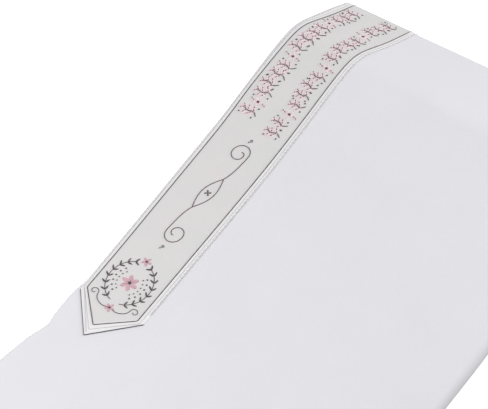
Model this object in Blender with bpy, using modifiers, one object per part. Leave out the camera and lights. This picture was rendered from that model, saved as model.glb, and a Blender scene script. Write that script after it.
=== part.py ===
"""A tallit, a Jewish prayer shawl, folded and lying flat.

The shawl is a woven rectangle. It is folded in quarters along its length, with the neck edge and its
band on top, and then once across the middle, so the pack is eight layers thick. The fold across the
middle is at +X, where the pack slopes down to a thin nose. The open short ends and the four corner
tassels are at -X, the neck edge is at +Y, and the long rolled folds are at -Y. The origin is in the
middle of the underside. Metres, +Z up.
"""

import math

import bmesh
import bpy
from mathutils import Vector

# The pack
HALF_LENGTH = 0.4525
NECK_Y = 0.1675
ROLL_Y = -0.161

# Its side profile, from the nose up the slope, over the crest and down to the open end
NOSE_R = 0.006
SLOPE_DEG = 24.0
SLOPE_DEG_PER_M = -12.0
SLOPE_LENGTH = 0.070
SLOPE_GROWTH = 0.04
CREST_R = 0.060
FALL_DEG = 1.0

# The end beyond the crest is folded a little askew, and the neck edge flares out past the band
SKEW_DEG = -8.0
SKEW_MIDDLE = 0.37
SKEW_EASE = 0.025
FLARE = 0.016
WAVE = 0.0012
WAVES_PER_M = 4.9
FLARE_START = 0.010
FLARE_LENGTH = 0.13

# Cloth
WALL = 0.0015
GAP = 0.0004
ROLL_TUCK_DEG = 150.0
ROLL_NOSE_DEG = 60.0
NOSE_DEPTH = 0.008
ROLL_REACH = 0.55
LEAST_RADIUS = 0.0006

# The band
BAND_WIDTH = 0.075
BAND_INSET = 0.0015
BAND_T = 0.0012
BAND_GAP = 0.0003
BAND_HALF = 0.4507
BAND_TIP = 0.038
TIP_STEP = 0.0005
BAND_COLUMNS = 7
BAND_ROW_GAP = 0.004
BAND_RISE_EASE = 0.008
BAND_RISE_START = -0.065
BAND_RISE_END = -0.045

# Hidden layers, how far each edge lies inside the outer layer's edge
LAYER_INSETS_SIDE = {"second": 0.004, "fold": 0.008}
FOLD_BULGE = 0.004
LAYER_INSETS_END = {"second": 0.005, "third": 0.010, "fourth": 0.007}
GROOVE = 0.003
ROLL_GROOVE = 0.002
LEVELS = 9

# Corner tassels
EYELET_R = 0.003
EYELET_INSET = 0.040
CORD_R = 0.0012
WOUND_R = 0.0019
KNOT_R = 0.0028
ROOT_REACH = 0.0085
WOUND_LENGTH = 0.10
STRAND_R = 0.0006
STRAND_LENGTH = 0.25
STRAND_ROOT = 0.004
STRANDS = 8
STRAND_FLOOR = 0.0005

# Stations along the top, from the open end to the crest
TOP_X = (
    -0.4525, -0.43, -0.39, -0.34, -0.28, -0.22, -0.17, -0.13, -0.10, -0.075,
    -0.05, -0.025, 0.0, 0.04, 0.10, 0.17, 0.24, 0.31,
)
CREST_STEPS = 5
SLOPE_STEPS = (0.0, 0.3, 0.6, 0.8, 0.92)
NOSE_STEPS = 4
SLOPE_END = len(TOP_X) + CREST_STEPS + len(SLOPE_STEPS)
NOSE_MIDDLE = SLOPE_END + NOSE_STEPS

# Columns across the flat, as distances from the neck edge and then shares of what is left
NEAR_COLUMNS = (0.0, 0.010, 0.040, 0.0765, 0.0795, 0.0875)
FAR_COLUMNS = (0.35, 0.7, 0.9, 1.0)
ROLL_STEPS = 9


def smooth(value, start, end):
    """Ease from 0 at start to 1 at end."""
    share = min(1.0, max(0.0, (value - start) / (end - start)))
    return share * share * (3 - 2 * share)


def skew(x):
    """How far the pack is pushed towards -Y, past the place where its end is folded askew."""
    over = x - SKEW_MIDDLE + SKEW_EASE
    if over <= 0:
        return 0.0
    slant = math.tan(math.radians(SKEW_DEG))
    if over < 2 * SKEW_EASE:
        return slant * over * over / (4 * SKEW_EASE)
    return slant * (x - SKEW_MIDDLE)


def neck_edge(x):
    """The neck edge's place across the pack, before the skew."""
    wave = WAVE * math.sin(2 * math.pi * WAVES_PER_M * x) * smooth(-x, 0.0, 0.1)
    return NECK_Y + FLARE * smooth(-x, -FLARE_START, FLARE_LENGTH - FLARE_START) + wave


class Profile:
    """The pack's side profile at one place across it: points and outward normals in X and Z."""

    def __init__(self, y):
        over = NECK_Y - y
        self.slope = math.radians(SLOPE_DEG + SLOPE_DEG_PER_M * over)
        self.length = SLOPE_LENGTH + SLOPE_GROWTH * over
        self.fall = math.radians(FALL_DEG)
        self.nose_x = HALF_LENGTH - NOSE_R
        rise = math.pi / 2 - self.slope
        self.foot = (self.nose_x + NOSE_R * math.cos(rise), NOSE_R + NOSE_R * math.sin(rise))
        self.head = (
            self.foot[0] - self.length * math.cos(self.slope),
            self.foot[1] + self.length * math.sin(self.slope),
        )
        self.hub = (
            self.head[0] - CREST_R * math.sin(self.slope),
            self.head[1] - CREST_R * math.cos(self.slope),
        )
        self.crest = self.on_crest(1.0)

    def on_crest(self, share):
        angle = math.pi / 2 - self.slope + share * (self.slope + self.fall)
        away = (math.cos(angle), math.sin(angle))
        return (self.hub[0] + CREST_R * away[0], self.hub[1] + CREST_R * away[1], *away)

    def on_nose(self, angle):
        away = (math.cos(angle), math.sin(angle))
        return (self.nose_x + NOSE_R * away[0], NOSE_R + NOSE_R * away[1], *away)

    def on_top(self, x):
        z = self.crest[1] - (self.crest[0] - x) * math.tan(self.fall)
        return (x, z, -math.sin(self.fall), math.cos(self.fall))

    def upper(self, station):
        """The face above station, from 0 at the open end to NOSE_MIDDLE."""
        if station < len(TOP_X):
            return self.on_top(TOP_X[station])
        station -= len(TOP_X)
        if station < CREST_STEPS:
            return self.on_crest(1 - station / CREST_STEPS)
        station -= CREST_STEPS
        if station < len(SLOPE_STEPS):
            down = self.length * SLOPE_STEPS[station]
            x = self.head[0] + down * math.cos(self.slope)
            z = self.head[1] - down * math.sin(self.slope)
            return (x, z, math.sin(self.slope), math.cos(self.slope))
        station -= len(SLOPE_STEPS)
        start = math.pi / 2 - self.slope
        return self.on_nose(start + (self.middle_angle() - start) * station / NOSE_STEPS)

    def lower(self, station):
        """The face on the floor below station."""
        if station < SLOPE_END:
            reach = (self.upper(station)[0] + HALF_LENGTH) / (self.foot[0] + HALF_LENGTH)
            return (-HALF_LENGTH + reach * (self.nose_x + HALF_LENGTH), 0.0, 0.0, -1.0)
        share = (station - SLOPE_END) / NOSE_STEPS
        start = -math.pi / 2
        return self.on_nose(start + (self.middle_angle() - start) * share)

    def middle_angle(self):
        return -self.slope / 2

    def middle(self, station):
        """Between the two arms of the pack, where the lowest upper layer meets the highest lower one."""
        top = self.upper(min(station, SLOPE_END))
        start = len(TOP_X) + CREST_STEPS
        if station > SLOPE_END:
            return (HALF_LENGTH - NOSE_DEPTH, NOSE_R)
        back = NOSE_DEPTH * smooth(station, start - 1, SLOPE_END)
        return (top[0] - back, top[1] / 2)


def band_rise(x, z, y):
    """How far the cloth under the pack is lifted, to make room for the band beneath it."""
    inner = NECK_Y - BAND_INSET - BAND_WIDTH
    across = smooth(y, inner - BAND_RISE_EASE, inner)
    along = smooth(x, BAND_RISE_START, BAND_RISE_END)
    return (BAND_T + BAND_GAP) * across * along * (1 - smooth(z, 0.0, NOSE_R))


def shell_rows():
    """Stations of the outer layer in order: along the floor, round the nose and back over the top."""
    below = [(True, station) for station in range(NOSE_MIDDLE + 1)]
    above = [(False, station) for station in range(NOSE_MIDDLE - 1, -1, -1)]
    return below + above


def face_point(is_lower, station, y, out):
    """A point out metres off the outer layer's face. A negative out is inside it."""
    profile = Profile(y)
    x, z, away_x, away_z = profile.lower(station) if is_lower else profile.upper(station)
    if is_lower:
        out -= band_rise(x, z, y)
    return (x + away_x * out, z + away_z * out)


def flat_columns(x):
    """Places across the flat part of a layer, from the neck edge to the start of the roll."""
    edge = neck_edge(x)
    near = [edge - step for step in NEAR_COLUMNS]
    left = near[-1] - ROLL_Y
    return near + [near[-1] - left * share for share in FAR_COLUMNS]


def roll_frame(is_lower, station):
    """Start, inward direction, depth and reach of the rolled fold at a station."""
    x, z = face_point(is_lower, station, ROLL_Y, 0.0)
    mid_x, mid_z = Profile(ROLL_Y).middle(station)
    depth = math.hypot(mid_x - x, mid_z - z)
    inward = ((mid_x - x) / depth, (mid_z - z) / depth)
    return (x, z), inward, depth, ROLL_REACH * depth


def roll_point(is_lower, station, angle, wall):
    """A point round the rolled fold, wall metres inside its outer face."""
    start, inward, depth, reach = roll_frame(is_lower, station)
    radius = max(LEAST_RADIUS, depth / 2 - wall)
    down = depth / 2 - radius * math.cos(angle)
    y = ROLL_Y - max(LEAST_RADIUS, reach - wall) * math.sin(angle)
    return Vector((start[0] + inward[0] * down, y, start[1] + inward[1] * down))


def skewed(point):
    return Vector((point[0], point[1] + skew(point[0]), point[2]))


def finish(name, mesh, color, roughness):
    """Make the node for a mesh, with a material of its own."""
    material = bpy.data.materials.new(name)
    material.use_nodes = True
    shader = material.node_tree.nodes["Principled BSDF"]
    shader.inputs["Base Color"].default_value = (*color, 1.0)
    shader.inputs["Roughness"].default_value = roughness
    shader.inputs["Metallic"].default_value = 0.0
    mesh.materials.append(material)
    node = bpy.data.objects.new(name, mesh)
    shawl.objects.link(node)
    mesh.shade_smooth()
    mesh.set_sharp_from_angle(angle=math.radians(40))
    return node


def grid_mesh(name, rows, columns, place):
    """A grid whose points are placed by row and column."""
    shape = bmesh.new()
    bmesh.ops.create_grid(shape, x_segments=rows - 1, y_segments=columns - 1, size=1.0)
    for vertex in shape.verts:
        row = round((vertex.co.x + 1) / 2 * (rows - 1))
        column = round((vertex.co.y + 1) / 2 * (columns - 1))
        vertex.co = place(row, column)
    bmesh.ops.recalc_face_normals(shape, faces=shape.faces)
    mesh = bpy.data.meshes.new(name)
    shape.to_mesh(mesh)
    shape.free()
    return mesh


def thicken(node, thickness):
    """Solidify towards the inside of the pack, which lies behind the face at the nose."""
    nose = max(node.data.polygons, key=lambda face: face.center.x)
    if nose.normal.x < 0:
        node.data.flip_normals()
    wall = node.modifiers.new("Wall", "SOLIDIFY")
    wall.thickness = thickness
    wall.offset = -1.0
    return wall


def cut(node, name, location, size, turn=None):
    """Cut a round or a square opening with a hidden tool."""
    if turn is None:
        bpy.ops.mesh.primitive_cube_add(size=1.0, location=location)
        bpy.context.object.scale = size
    else:
        bpy.ops.mesh.primitive_cylinder_add(
            vertices=16, radius=size[0], depth=size[2], location=location, rotation=turn
        )
    tool = bpy.context.object
    tool.name = name
    for owner in tool.users_collection:
        owner.objects.unlink(tool)
    cutters.objects.link(tool)
    tool.hide_render = True
    tool.display_type = "WIRE"
    opening = node.modifiers.new(name, "BOOLEAN")
    opening.operation = "DIFFERENCE"
    opening.solver = "EXACT"
    opening.object = tool


def tuck_angle(station):
    """How far the outer layer's fold rolls in under itself: less at the nose, where it is thin."""
    share = smooth(station, len(TOP_X) + CREST_STEPS, NOSE_MIDDLE)
    return math.radians(ROLL_TUCK_DEG + (ROLL_NOSE_DEG - ROLL_TUCK_DEG) * share)


def outer_layer():
    rows = shell_rows()
    flat = len(NEAR_COLUMNS) + len(FAR_COLUMNS)

    def place(row, column):
        is_lower, station = rows[row]
        if column >= flat:
            angle = tuck_angle(station) * (column - flat + 1) / ROLL_STEPS
            return skewed(roll_point(is_lower, station, angle, 0.0))
        x = face_point(is_lower, station, NECK_Y, 0.0)[0]
        y = flat_columns(x)[column]
        x, z = face_point(is_lower, station, y, 0.0)
        return skewed((x, y, z))

    mesh = grid_mesh("shawl_outer_layer", len(rows), flat + ROLL_STEPS, place)
    node = finish("shawl_outer_layer", mesh, (0.76, 0.75, 0.78), 0.9)
    thicken(node, WALL)
    return node


def layer_level(level):
    """Depth share and edge insets of one level through the pack's thickness, -LEVELS to LEVELS."""
    height = abs(level)
    third = LEVELS // 3
    grooved = GROOVE if height % third == 0 else 0.0
    if height > 2 * third:
        side, end = LAYER_INSETS_SIDE["second"], LAYER_INSETS_END["second"]
    else:
        bulge = math.sin(math.pi * height / (2 * third))
        side = LAYER_INSETS_SIDE["fold"] + FOLD_BULGE * (1 - bulge)
        end = LAYER_INSETS_END["third" if height > third else "fourth"]
    if height in (2 * third, 0):
        side += GROOVE
    return height / LEVELS, side, end + grooved


def inner_layers():
    """The six hidden layers: a cube cut into levels, then shaped as the pack's inside."""
    flat = len(NEAR_COLUMNS) + len(FAR_COLUMNS)
    sizes = (SLOPE_END, flat - 1, 2 * LEVELS)
    shape = bmesh.new()
    bmesh.ops.create_cube(shape, size=2.0)
    for axis, size in enumerate(sizes):
        across = Vector([1.0 if i == axis else 0.0 for i in range(3)])
        for step in range(1, size):
            plane = across * (-1 + 2 * step / size)
            parts = shape.verts[:] + shape.edges[:] + shape.faces[:]
            bmesh.ops.bisect_plane(shape, geom=parts, plane_co=plane, plane_no=across, dist=1e-6)
    inside = WALL + GAP
    for vertex in shape.verts:
        station, column, level = (
            round((vertex.co[axis] + 1) / 2 * size) for axis, size in enumerate(sizes)
        )
        vertex.co = inner_point(station, flat - 1 - column, level - LEVELS, flat, inside)
    bmesh.ops.recalc_face_normals(shape, faces=shape.faces)
    mesh = bpy.data.meshes.new("inner_layers")
    shape.to_mesh(mesh)
    shape.free()
    return finish("inner_layers", mesh, (0.74, 0.73, 0.76), 0.9)


def inner_point(station, column, level, flat, inside):
    """A point of the inner layers by station, column from the neck edge, and level of thickness."""
    is_lower = level < 0
    share, side, end = layer_level(level)
    rolled = column == flat - 1
    x_edge = face_point(is_lower, station, NECK_Y, 0.0)[0]
    y = flat_columns(x_edge)[column]
    if column == 0:
        y -= side + 0.5 * (neck_edge(x_edge) - NECK_Y)
    if station == SLOPE_END:
        profile = Profile(y)
        start = -math.pi / 2
        turn = math.pi / 2 - profile.slope - start
        angle = start + turn * (level + LEVELS) / (2 * LEVELS)
        x, z, away_x, away_z = profile.on_nose(angle)
        out = -inside - band_rise(x, z, y)
        return skewed((x + away_x * out, y, z + away_z * out))
    if rolled:
        if level == 0:
            x, z = Profile(y).middle(station)
            point = Vector((x, ROLL_Y + ROLL_GROOVE, z))
        else:
            turn = math.pi * (LEVELS - abs(level)) / (LEVELS - 1)
            point = roll_point(is_lower, station, turn, inside)
    else:
        x, z = face_point(is_lower, station, y, -inside)
        mid_x, mid_z = Profile(y).middle(station)
        point = Vector((mid_x + (x - mid_x) * share, y, mid_z + (z - mid_z) * share))
    if station == 0:
        point.x += end
    return skewed(point)


def walk_from_nose(is_lower, length):
    """Where a line along the neck edge ends, length metres from the middle of the nose."""
    profile = Profile(NECK_Y)
    face = profile.lower if is_lower else profile.upper
    before = face(NOSE_MIDDLE)
    for station in range(NOSE_MIDDLE - 1, -1, -1):
        point = face(station)
        step = math.hypot(point[0] - before[0], point[1] - before[1])
        if step >= length:
            return before[0] + (point[0] - before[0]) * length / step
        length -= step
        before = point
    return before[0]


def band_end_point(is_lower, pointed, share):
    """A point on the band's straight shoulder line or, if pointed, on its pointed end."""
    x = walk_from_nose(is_lower, BAND_HALF)
    if pointed:
        x -= BAND_TIP * (1 - abs(2 * share - 1)) + TIP_STEP
    y = NECK_Y - BAND_INSET - BAND_WIDTH * share
    out = BAND_T + BAND_GAP
    if is_lower:
        return (x, y, out - band_rise(x, 0.0, y))
    top = Profile(y).on_top(x)
    return (top[0] + top[2] * out, y, top[1] + top[3] * out)


def band():
    """The atarah: it follows the neck edge, over the crest, round the nose and under the pack."""
    kept = []
    for is_lower, station in shell_rows():
        x = face_point(is_lower, station, NECK_Y, 0.0)[0]
        if x > walk_from_nose(is_lower, BAND_HALF) + BAND_ROW_GAP:
            kept.append((is_lower, station))
    last = len(kept) + 3
    ends = {0: (True, True), 1: (True, False), last - 1: (False, False), last: (False, True)}

    def place(row, column):
        share = column / (BAND_COLUMNS - 1)
        if row in ends:
            point = band_end_point(*ends[row], share)
            return skewed((point[0], point[1] + neck_edge(point[0]) - NECK_Y, point[2]))
        is_lower, station = kept[row - 2]
        y = NECK_Y - BAND_INSET - BAND_WIDTH * share
        x, z = face_point(is_lower, station, y, BAND_T + BAND_GAP)
        return skewed((x, y, z))

    mesh = grid_mesh("atarah", last + 1, BAND_COLUMNS, place)
    node = finish("atarah", mesh, (0.70, 0.68, 0.69), 0.55)
    thicken(node, BAND_T)
    return node


def tube_mesh(name, runs, sides_level):
    """Round cords as one mesh: each run is a list of points with radii."""
    curve = bpy.data.curves.new(name, "CURVE")
    curve.dimensions = "3D"
    curve.bevel_depth = 1.0
    curve.bevel_resolution = sides_level
    curve.use_fill_caps = True
    for run in runs:
        spline = curve.splines.new("POLY")
        spline.points.add(len(run) - 1)
        for spot, (point, radius) in zip(spline.points, run):
            spot.co = (*point, 1.0)
            spot.radius = radius
    holder = bpy.data.objects.new(name, curve)
    bpy.context.scene.collection.objects.link(holder)
    bpy.context.view_layer.update()
    graph = bpy.context.evaluated_depsgraph_get()
    mesh = bpy.data.meshes.new_from_object(holder.evaluated_get(graph))
    bpy.data.objects.remove(holder)
    shape = bmesh.new()
    shape.from_mesh(mesh)
    bmesh.ops.remove_doubles(shape, verts=shape.verts, dist=1e-5)
    bmesh.ops.recalc_face_normals(shape, faces=shape.faces)
    shape.to_mesh(mesh)
    shape.free()
    return mesh


def head_run(start, end):
    """The wound and knotted part: five double knots with wound stretches between them."""
    run = []
    knots = 5
    for knot in range(knots):
        middle = knot / (knots - 1)
        for offset, radius in ((-0.022, WOUND_R), (-0.011, KNOT_R), (0.011, KNOT_R), (0.022, WOUND_R)):
            share = 0.03 + 0.94 * middle + offset
            run.append((start.lerp(end, share), radius))
    return run


def strand_runs(end, heading, left):
    """Eight loose strands that leave the last knot and fan out over the floor."""
    runs = []
    steps = 8
    for strand in range(STRANDS):
        slot = strand - (STRANDS - 1) / 2
        upper = strand % 2
        run = []
        for step in range(steps + 1):
            along = STRAND_LENGTH * step / steps - STRAND_ROOT
            spread = 0.00065 + 0.0048 * smooth(along, 0.0, 0.06) + 0.016 * max(0.0, along)
            wave = 0.006 * math.sin(along * 26.0 + 0.25 * slot) * smooth(along, 0.0, 0.12)
            aside = slot * spread + wave
            rest = STRAND_FLOOR + STRAND_R
            lift = (end.z - rest + (0.0008 if upper else -0.0008)) * (1 - smooth(along, 0.0, 0.045))
            spot = end + heading * along + left * aside
            run.append((Vector((spot.x, spot.y, rest + max(0.0, lift))), STRAND_R))
        runs.append(run)
    return runs


def tassel(name, corner, heading_deg, top_z, root):
    """One tzitzit: a root cord at the shawl's corner, a knotted head and eight strands."""
    heading = Vector((-math.cos(math.radians(heading_deg)), math.sin(math.radians(heading_deg)), 0))
    left = Vector((-heading.y, heading.x, 0))
    start = Vector((-HALF_LENGTH - 0.005, corner, max(top_z, KNOT_R + STRAND_FLOOR)))
    drop = start.z - KNOT_R - STRAND_FLOOR
    reach = math.sqrt(WOUND_LENGTH ** 2 - drop ** 2)
    end = start + heading * reach - Vector((0, 0, drop))
    mesh = tube_mesh(name, [head_run(start, end)], 2)
    node = finish(name, mesh, (0.80, 0.79, 0.76), 0.8)
    joins = [("roots", [root], 1), ("strands", strand_runs(end, heading, left), 0)]
    for label, runs, sides_level in joins:
        tool = bpy.data.objects.new(f"{name}_{label}", tube_mesh(f"{name}_{label}", runs, sides_level))
        cutters.objects.link(tool)
        tool.hide_render = True
        tool.display_type = "WIRE"
        join = node.modifiers.new(label, "BOOLEAN")
        join.operation = "UNION"
        join.solver = "EXACT"
        join.object = tool
    return node


def eyelet_root(place, top_z):
    """The cord's loop: up from the knot, over the edge, down the eyelet and back under the cloth."""
    over = top_z + CORD_R + 0.0006
    under = top_z - WALL - CORD_R - 0.0006
    edge = -HALF_LENGTH
    knot_z = top_z - WALL / 2
    stops = (
        (edge - ROOT_REACH, knot_z + 0.0014),
        (edge - 0.003, over - 0.0006),
        (edge + 0.003, over),
        (place.x - 0.0018, over),
        (place.x + 0.0002, top_z + 0.0009),
        (place.x + 0.0002, top_z - WALL - 0.0009),
        (place.x - 0.0018, under),
        (edge + 0.001, under),
        (edge - 0.003, under + 0.0006),
        (edge - ROOT_REACH, knot_z - 0.0014),
    )
    return [(Vector((x, place.y, z)), CORD_R) for x, z in stops]


for old in list(bpy.data.objects):
    bpy.data.objects.remove(old, do_unlink=True)
shawl = bpy.data.collections.new("tallit")
cutters = bpy.data.collections.new("cutters")
bpy.context.scene.collection.children.link(shawl)
bpy.context.scene.collection.children.link(cutters)

outer = outer_layer()
inner = inner_layers()
band()

top_z = Profile(NECK_Y).on_top(-HALF_LENGTH)[1]
eyelet = Vector((-HALF_LENGTH + EYELET_INSET, NECK_Y + FLARE - EYELET_INSET, top_z))
cut(outer, "eyelet", eyelet, (EYELET_R, EYELET_R, 0.008), (0, 0, 0))
cord_room = 2 * CORD_R + 0.002
cut(
    inner, "eyelet_room",
    (eyelet.x - 0.016, eyelet.y, top_z - WALL - cord_room / 2),
    (0.058, 2 * CORD_R + 0.0016, cord_room + 0.003),
)

# Where the other three corners let their cords out: place across, height and heading
CORNERS = (
    ("tzitzit_2", 0.105, 0.0225, -2.0),
    ("tzitzit_3", 0.075, 0.0085, -12.0),
    ("tzitzit_4", 0.165, 0.0035, 22.0),
)
tassel("tzitzit_1", eyelet.y, 9.0, top_z - WALL / 2, eyelet_root(eyelet, top_z))
for name, across, height, heading in CORNERS:
    root = [
        (Vector((-HALF_LENGTH - ROOT_REACH, across, height)), CORD_R),
        (Vector((-HALF_LENGTH + 0.020, across, height)), CORD_R),
    ]
    tassel(name, across, heading, height, root)
    room = 2 * CORD_R + 0.0012
    cut(inner, f"{name}_room", (-HALF_LENGTH + 0.010, across, height), (0.0212, room, room))
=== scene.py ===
import math

import bpy
from mathutils import Matrix, Vector


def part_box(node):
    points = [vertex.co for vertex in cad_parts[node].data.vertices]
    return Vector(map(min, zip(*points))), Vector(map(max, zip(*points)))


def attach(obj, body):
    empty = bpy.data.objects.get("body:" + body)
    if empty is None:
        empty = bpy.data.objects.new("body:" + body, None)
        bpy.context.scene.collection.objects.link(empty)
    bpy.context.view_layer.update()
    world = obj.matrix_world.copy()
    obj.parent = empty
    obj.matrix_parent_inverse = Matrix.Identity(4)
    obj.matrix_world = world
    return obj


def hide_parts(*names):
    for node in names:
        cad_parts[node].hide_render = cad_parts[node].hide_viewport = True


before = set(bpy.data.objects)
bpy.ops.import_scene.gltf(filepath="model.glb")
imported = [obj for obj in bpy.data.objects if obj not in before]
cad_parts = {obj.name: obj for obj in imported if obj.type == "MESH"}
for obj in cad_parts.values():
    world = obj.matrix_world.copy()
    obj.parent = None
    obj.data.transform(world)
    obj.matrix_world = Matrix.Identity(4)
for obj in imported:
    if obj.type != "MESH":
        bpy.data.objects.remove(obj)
bpy.ops.object.select_all(action="DESELECT")
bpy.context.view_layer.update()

# The shawl. One length of fine white wool, hemmed at its short ends. It is rolled up in quarters
# with the neck edge on top, then folded once across its middle. That fold is the thin nose at +X,
# and the open ends lie eight layers deep at -X.
CLOTH_T = 0.0009
HEM_T = 0.0016
HEM_DEPTH = 0.012
HEM_EASE = 0.010
HALF_LENGTH = -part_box("shawl_outer_layer")[0].x
NECK_Y = 0.1675
ROLL_Y = -0.161

# The pack's side profile, from the nose up the slope, over the crest and down to the open ends
NOSE_R = 0.006
NOSE_X = HALF_LENGTH - NOSE_R
NOSE_DEPTH = 0.008
SLOPE_DEG = 24.0
SLOPE_DEG_PER_M = -12.0
SLOPE_LENGTH = 0.070
SLOPE_GROWTH = 0.04
CREST_R = 0.060
FALL = math.radians(1.0)

# The folded end lies askew. The neck edge draws in beside the band, then flares out past its end,
# with one small pull in it, and waves a little from there on. Each pair is where a form starts and
# where it is full.
SKEW_DEG = -8.0
SKEW_MIDDLE = 0.37
SKEW_EASE = 0.025
NOSE_SLANT = 0.016
NOSE_SLANT_Y = 0.077
NOSE_SLANT_START = 0.36
DRAWN_IN = 0.0033
DRAWN_IN_AT_NOSE, DRAWN_IN_AT_END = (0.344, 0.224), (0.005, 0.025)
FLARE = 0.0150
FLARES_OVER = (-0.012, -0.110)
PULL = 0.0034
PULL_X = -0.0345
PULL_WIDTH = 0.0095
WAVE = 0.0012
WAVES_PER_M = 4.9
WAVES_OVER = (-0.09, -0.2)

# The neck edge's corner at the nose is rounded a little
NOSE_ROUND = 0.0013
NOSE_ROUND_START = 0.425

# The roll opposite swells out a little past the pack's middle
SWELL = 0.0045
SWELLS_OVER, SWELL_FADES_OVER = (0.050, 0.190), (0.400, 0.250)

# Where the second, third and fourth layers lie, as shares of the way to the pack's middle, at the
# nose and on the flat, and how far their ends lie inside the top layer's end
SECOND = (0.34, 0.38, 0.005)
THIRD = (0.50, 0.65, 0.010)
FOURTH = (0.92, 0.97, 0.007)
ROLL_REACH = 0.52
LOWER_ROLL_SHARE = 0.30
INNER_ROLL_REACH = 0.30
FOLD_REACH = 0.60
SECOND_EDGE_INSET = 0.004
FOLD_INSET = 0.008

# The band's place on the shawl, needed here because the cloth under the pack rises over it
BAND_INSET = 0.0015
BAND_OUT = 0.0009
BAND_ROOM = 0.0806
BAND_UNDER = 0.0011
BAND_RISE_EASE = 0.008
BAND_RISES_OVER = (-0.065, -0.045)

# Soft waves in the pack's top, as (height, radians a metre along X and along Y, shift). The last
# one is beside the roll, and all of them fade out down the slope.
WIDE_WAVE = (0.0005, 17.0, 9.0, 0.6)
CROSS_WAVE = (0.0003, 31.0, -23.0, 0.0)
ROLL_WAVE = (0.0003, 83.0, 37.0, 0.0)
ROLL_WAVE_OVER, SLOPE_FADE = (-0.10, -0.16), (0.004, 0.02)

# The cloth's steps across the pack, and its rows along it as (from stage, to stage, rows)
TOP_STEPS, LAYER_STEPS, LAST_LAYER_STEPS = 34, 12, 14
OUTER_ROLL_STEPS, INNER_ROLL_STEPS = 14, 8
STAGE_STEPS = ((0.0, 1.0, 7), (1.0, 2.0, 14), (2.0, 3.0, 14), (3.0, 3.4, 84), (3.4, 4.0, 44))
SHARP_EDGE = math.radians(50)


def eased(value, start, end):
    """Ease from 0 at start to 1 at end, whichever is the greater."""
    share = min(1.0, max(0.0, (value - start) / (end - start)))
    return share * share * (3 - 2 * share)


def askew(x):
    """How far the pack is pushed towards -Y at a place along it."""
    over = x - SKEW_MIDDLE + SKEW_EASE
    slant = math.tan(math.radians(SKEW_DEG))
    if over <= 0:
        return 0.0
    if over < 2 * SKEW_EASE:
        return slant * over * over / (4 * SKEW_EASE)
    return slant * (x - SKEW_MIDDLE)


def slanted(x, y):
    """How far the nose is pushed towards +X at a place across it, as its fold isn't quite square."""
    return NOSE_SLANT * (NOSE_SLANT_Y - y) * eased(x, NOSE_SLANT_START, HALF_LENGTH)


def neck_edge(x):
    """The neck edge's place across the pack."""
    drawn = eased(x, *DRAWN_IN_AT_NOSE) * eased(x, *DRAWN_IN_AT_END)
    flare = eased(x, *FLARES_OVER)
    pull = math.exp(-(((x - PULL_X) / PULL_WIDTH) ** 2))
    wave = WAVE * math.sin(math.tau * WAVES_PER_M * x) * eased(x, *WAVES_OVER)
    rounded = NOSE_ROUND * eased(x, NOSE_ROUND_START, HALF_LENGTH)
    return NECK_Y - DRAWN_IN * drawn - rounded + FLARE * flare - PULL * pull + wave


def roll_edge(x):
    """Where the outer roll starts, across the pack."""
    return ROLL_Y - SWELL * eased(x, *SWELLS_OVER) * eased(x, *SWELL_FADES_OVER)


def side_profile(y):
    """The pack from the side: slope angle and length, and the slope's foot and the crest's hub."""
    over = NECK_Y - y
    slope = math.radians(SLOPE_DEG + SLOPE_DEG_PER_M * over)
    length = SLOPE_LENGTH + SLOPE_GROWTH * over
    foot = (NOSE_X + NOSE_R * math.sin(slope), NOSE_R + NOSE_R * math.cos(slope))
    hub = (
        foot[0] - length * math.cos(slope) - CREST_R * math.sin(slope),
        foot[1] + length * math.sin(slope) - CREST_R * math.cos(slope),
    )
    return slope, length, foot, hub


def spans(y, inset):
    """Lengths along the upper face: up the nose, up the slope, over the crest and along the top."""
    slope, length, _, hub = side_profile(y)
    top = (hub[0] - CREST_R * math.sin(FALL) + HALF_LENGTH - inset) / math.cos(FALL)
    return NOSE_R * (math.pi - slope) / 2, length, CREST_R * (slope + FALL), top


def run_to(stage, y, inset=0.0):
    """Metres from the nose's middle to a stage: 1 the slope's foot, 2 and 3 the crest, 4 the end."""
    parts = spans(y, inset)
    whole = min(3, int(stage))
    return sum(parts[:whole]) + parts[whole] * (stage - whole)


def run_below(stage, y, inset=0.0):
    """The same under the pack, where the cloth lies flat, as a negative distance."""
    parts = spans(y, inset)
    if stage <= 1:
        return -parts[0] * stage
    share = (run_to(stage, y, inset) - parts[0]) / sum(parts[1:])
    return -parts[0] - share * (NOSE_X + HALF_LENGTH - inset)


def face_at(run, y):
    """The pack's face run metres up (+) or down (-) from the nose's middle, and its direction."""
    slope, length, foot, hub = side_profile(y)
    nose = NOSE_R * (math.pi - slope) / 2
    if abs(run) < nose:
        turn = run / NOSE_R - slope / 2
        away = (math.cos(turn), math.sin(turn))
        return NOSE_X + NOSE_R * away[0], NOSE_R + NOSE_R * away[1], *away
    if run < 0:
        return NOSE_X + run + nose, 0.0, 0.0, -1.0
    run -= nose
    if run < length:
        away = (math.sin(slope), math.cos(slope))
        return foot[0] - run * away[1], foot[1] + run * away[0], *away
    run -= length
    crest = CREST_R * (slope + FALL)
    turn = math.pi / 2 - slope + min(run, crest) / CREST_R
    away = (math.cos(turn), math.sin(turn))
    left = max(0.0, run - crest)
    x = hub[0] + CREST_R * away[0] - left * math.cos(FALL)
    return x, hub[1] + CREST_R * away[1] - left * math.sin(FALL), *away


def ripple(wave, x, y):
    """The height of one of the soft waves."""
    height, along, across, shift = wave
    return height * math.sin(along * x + across * y + shift)


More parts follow.
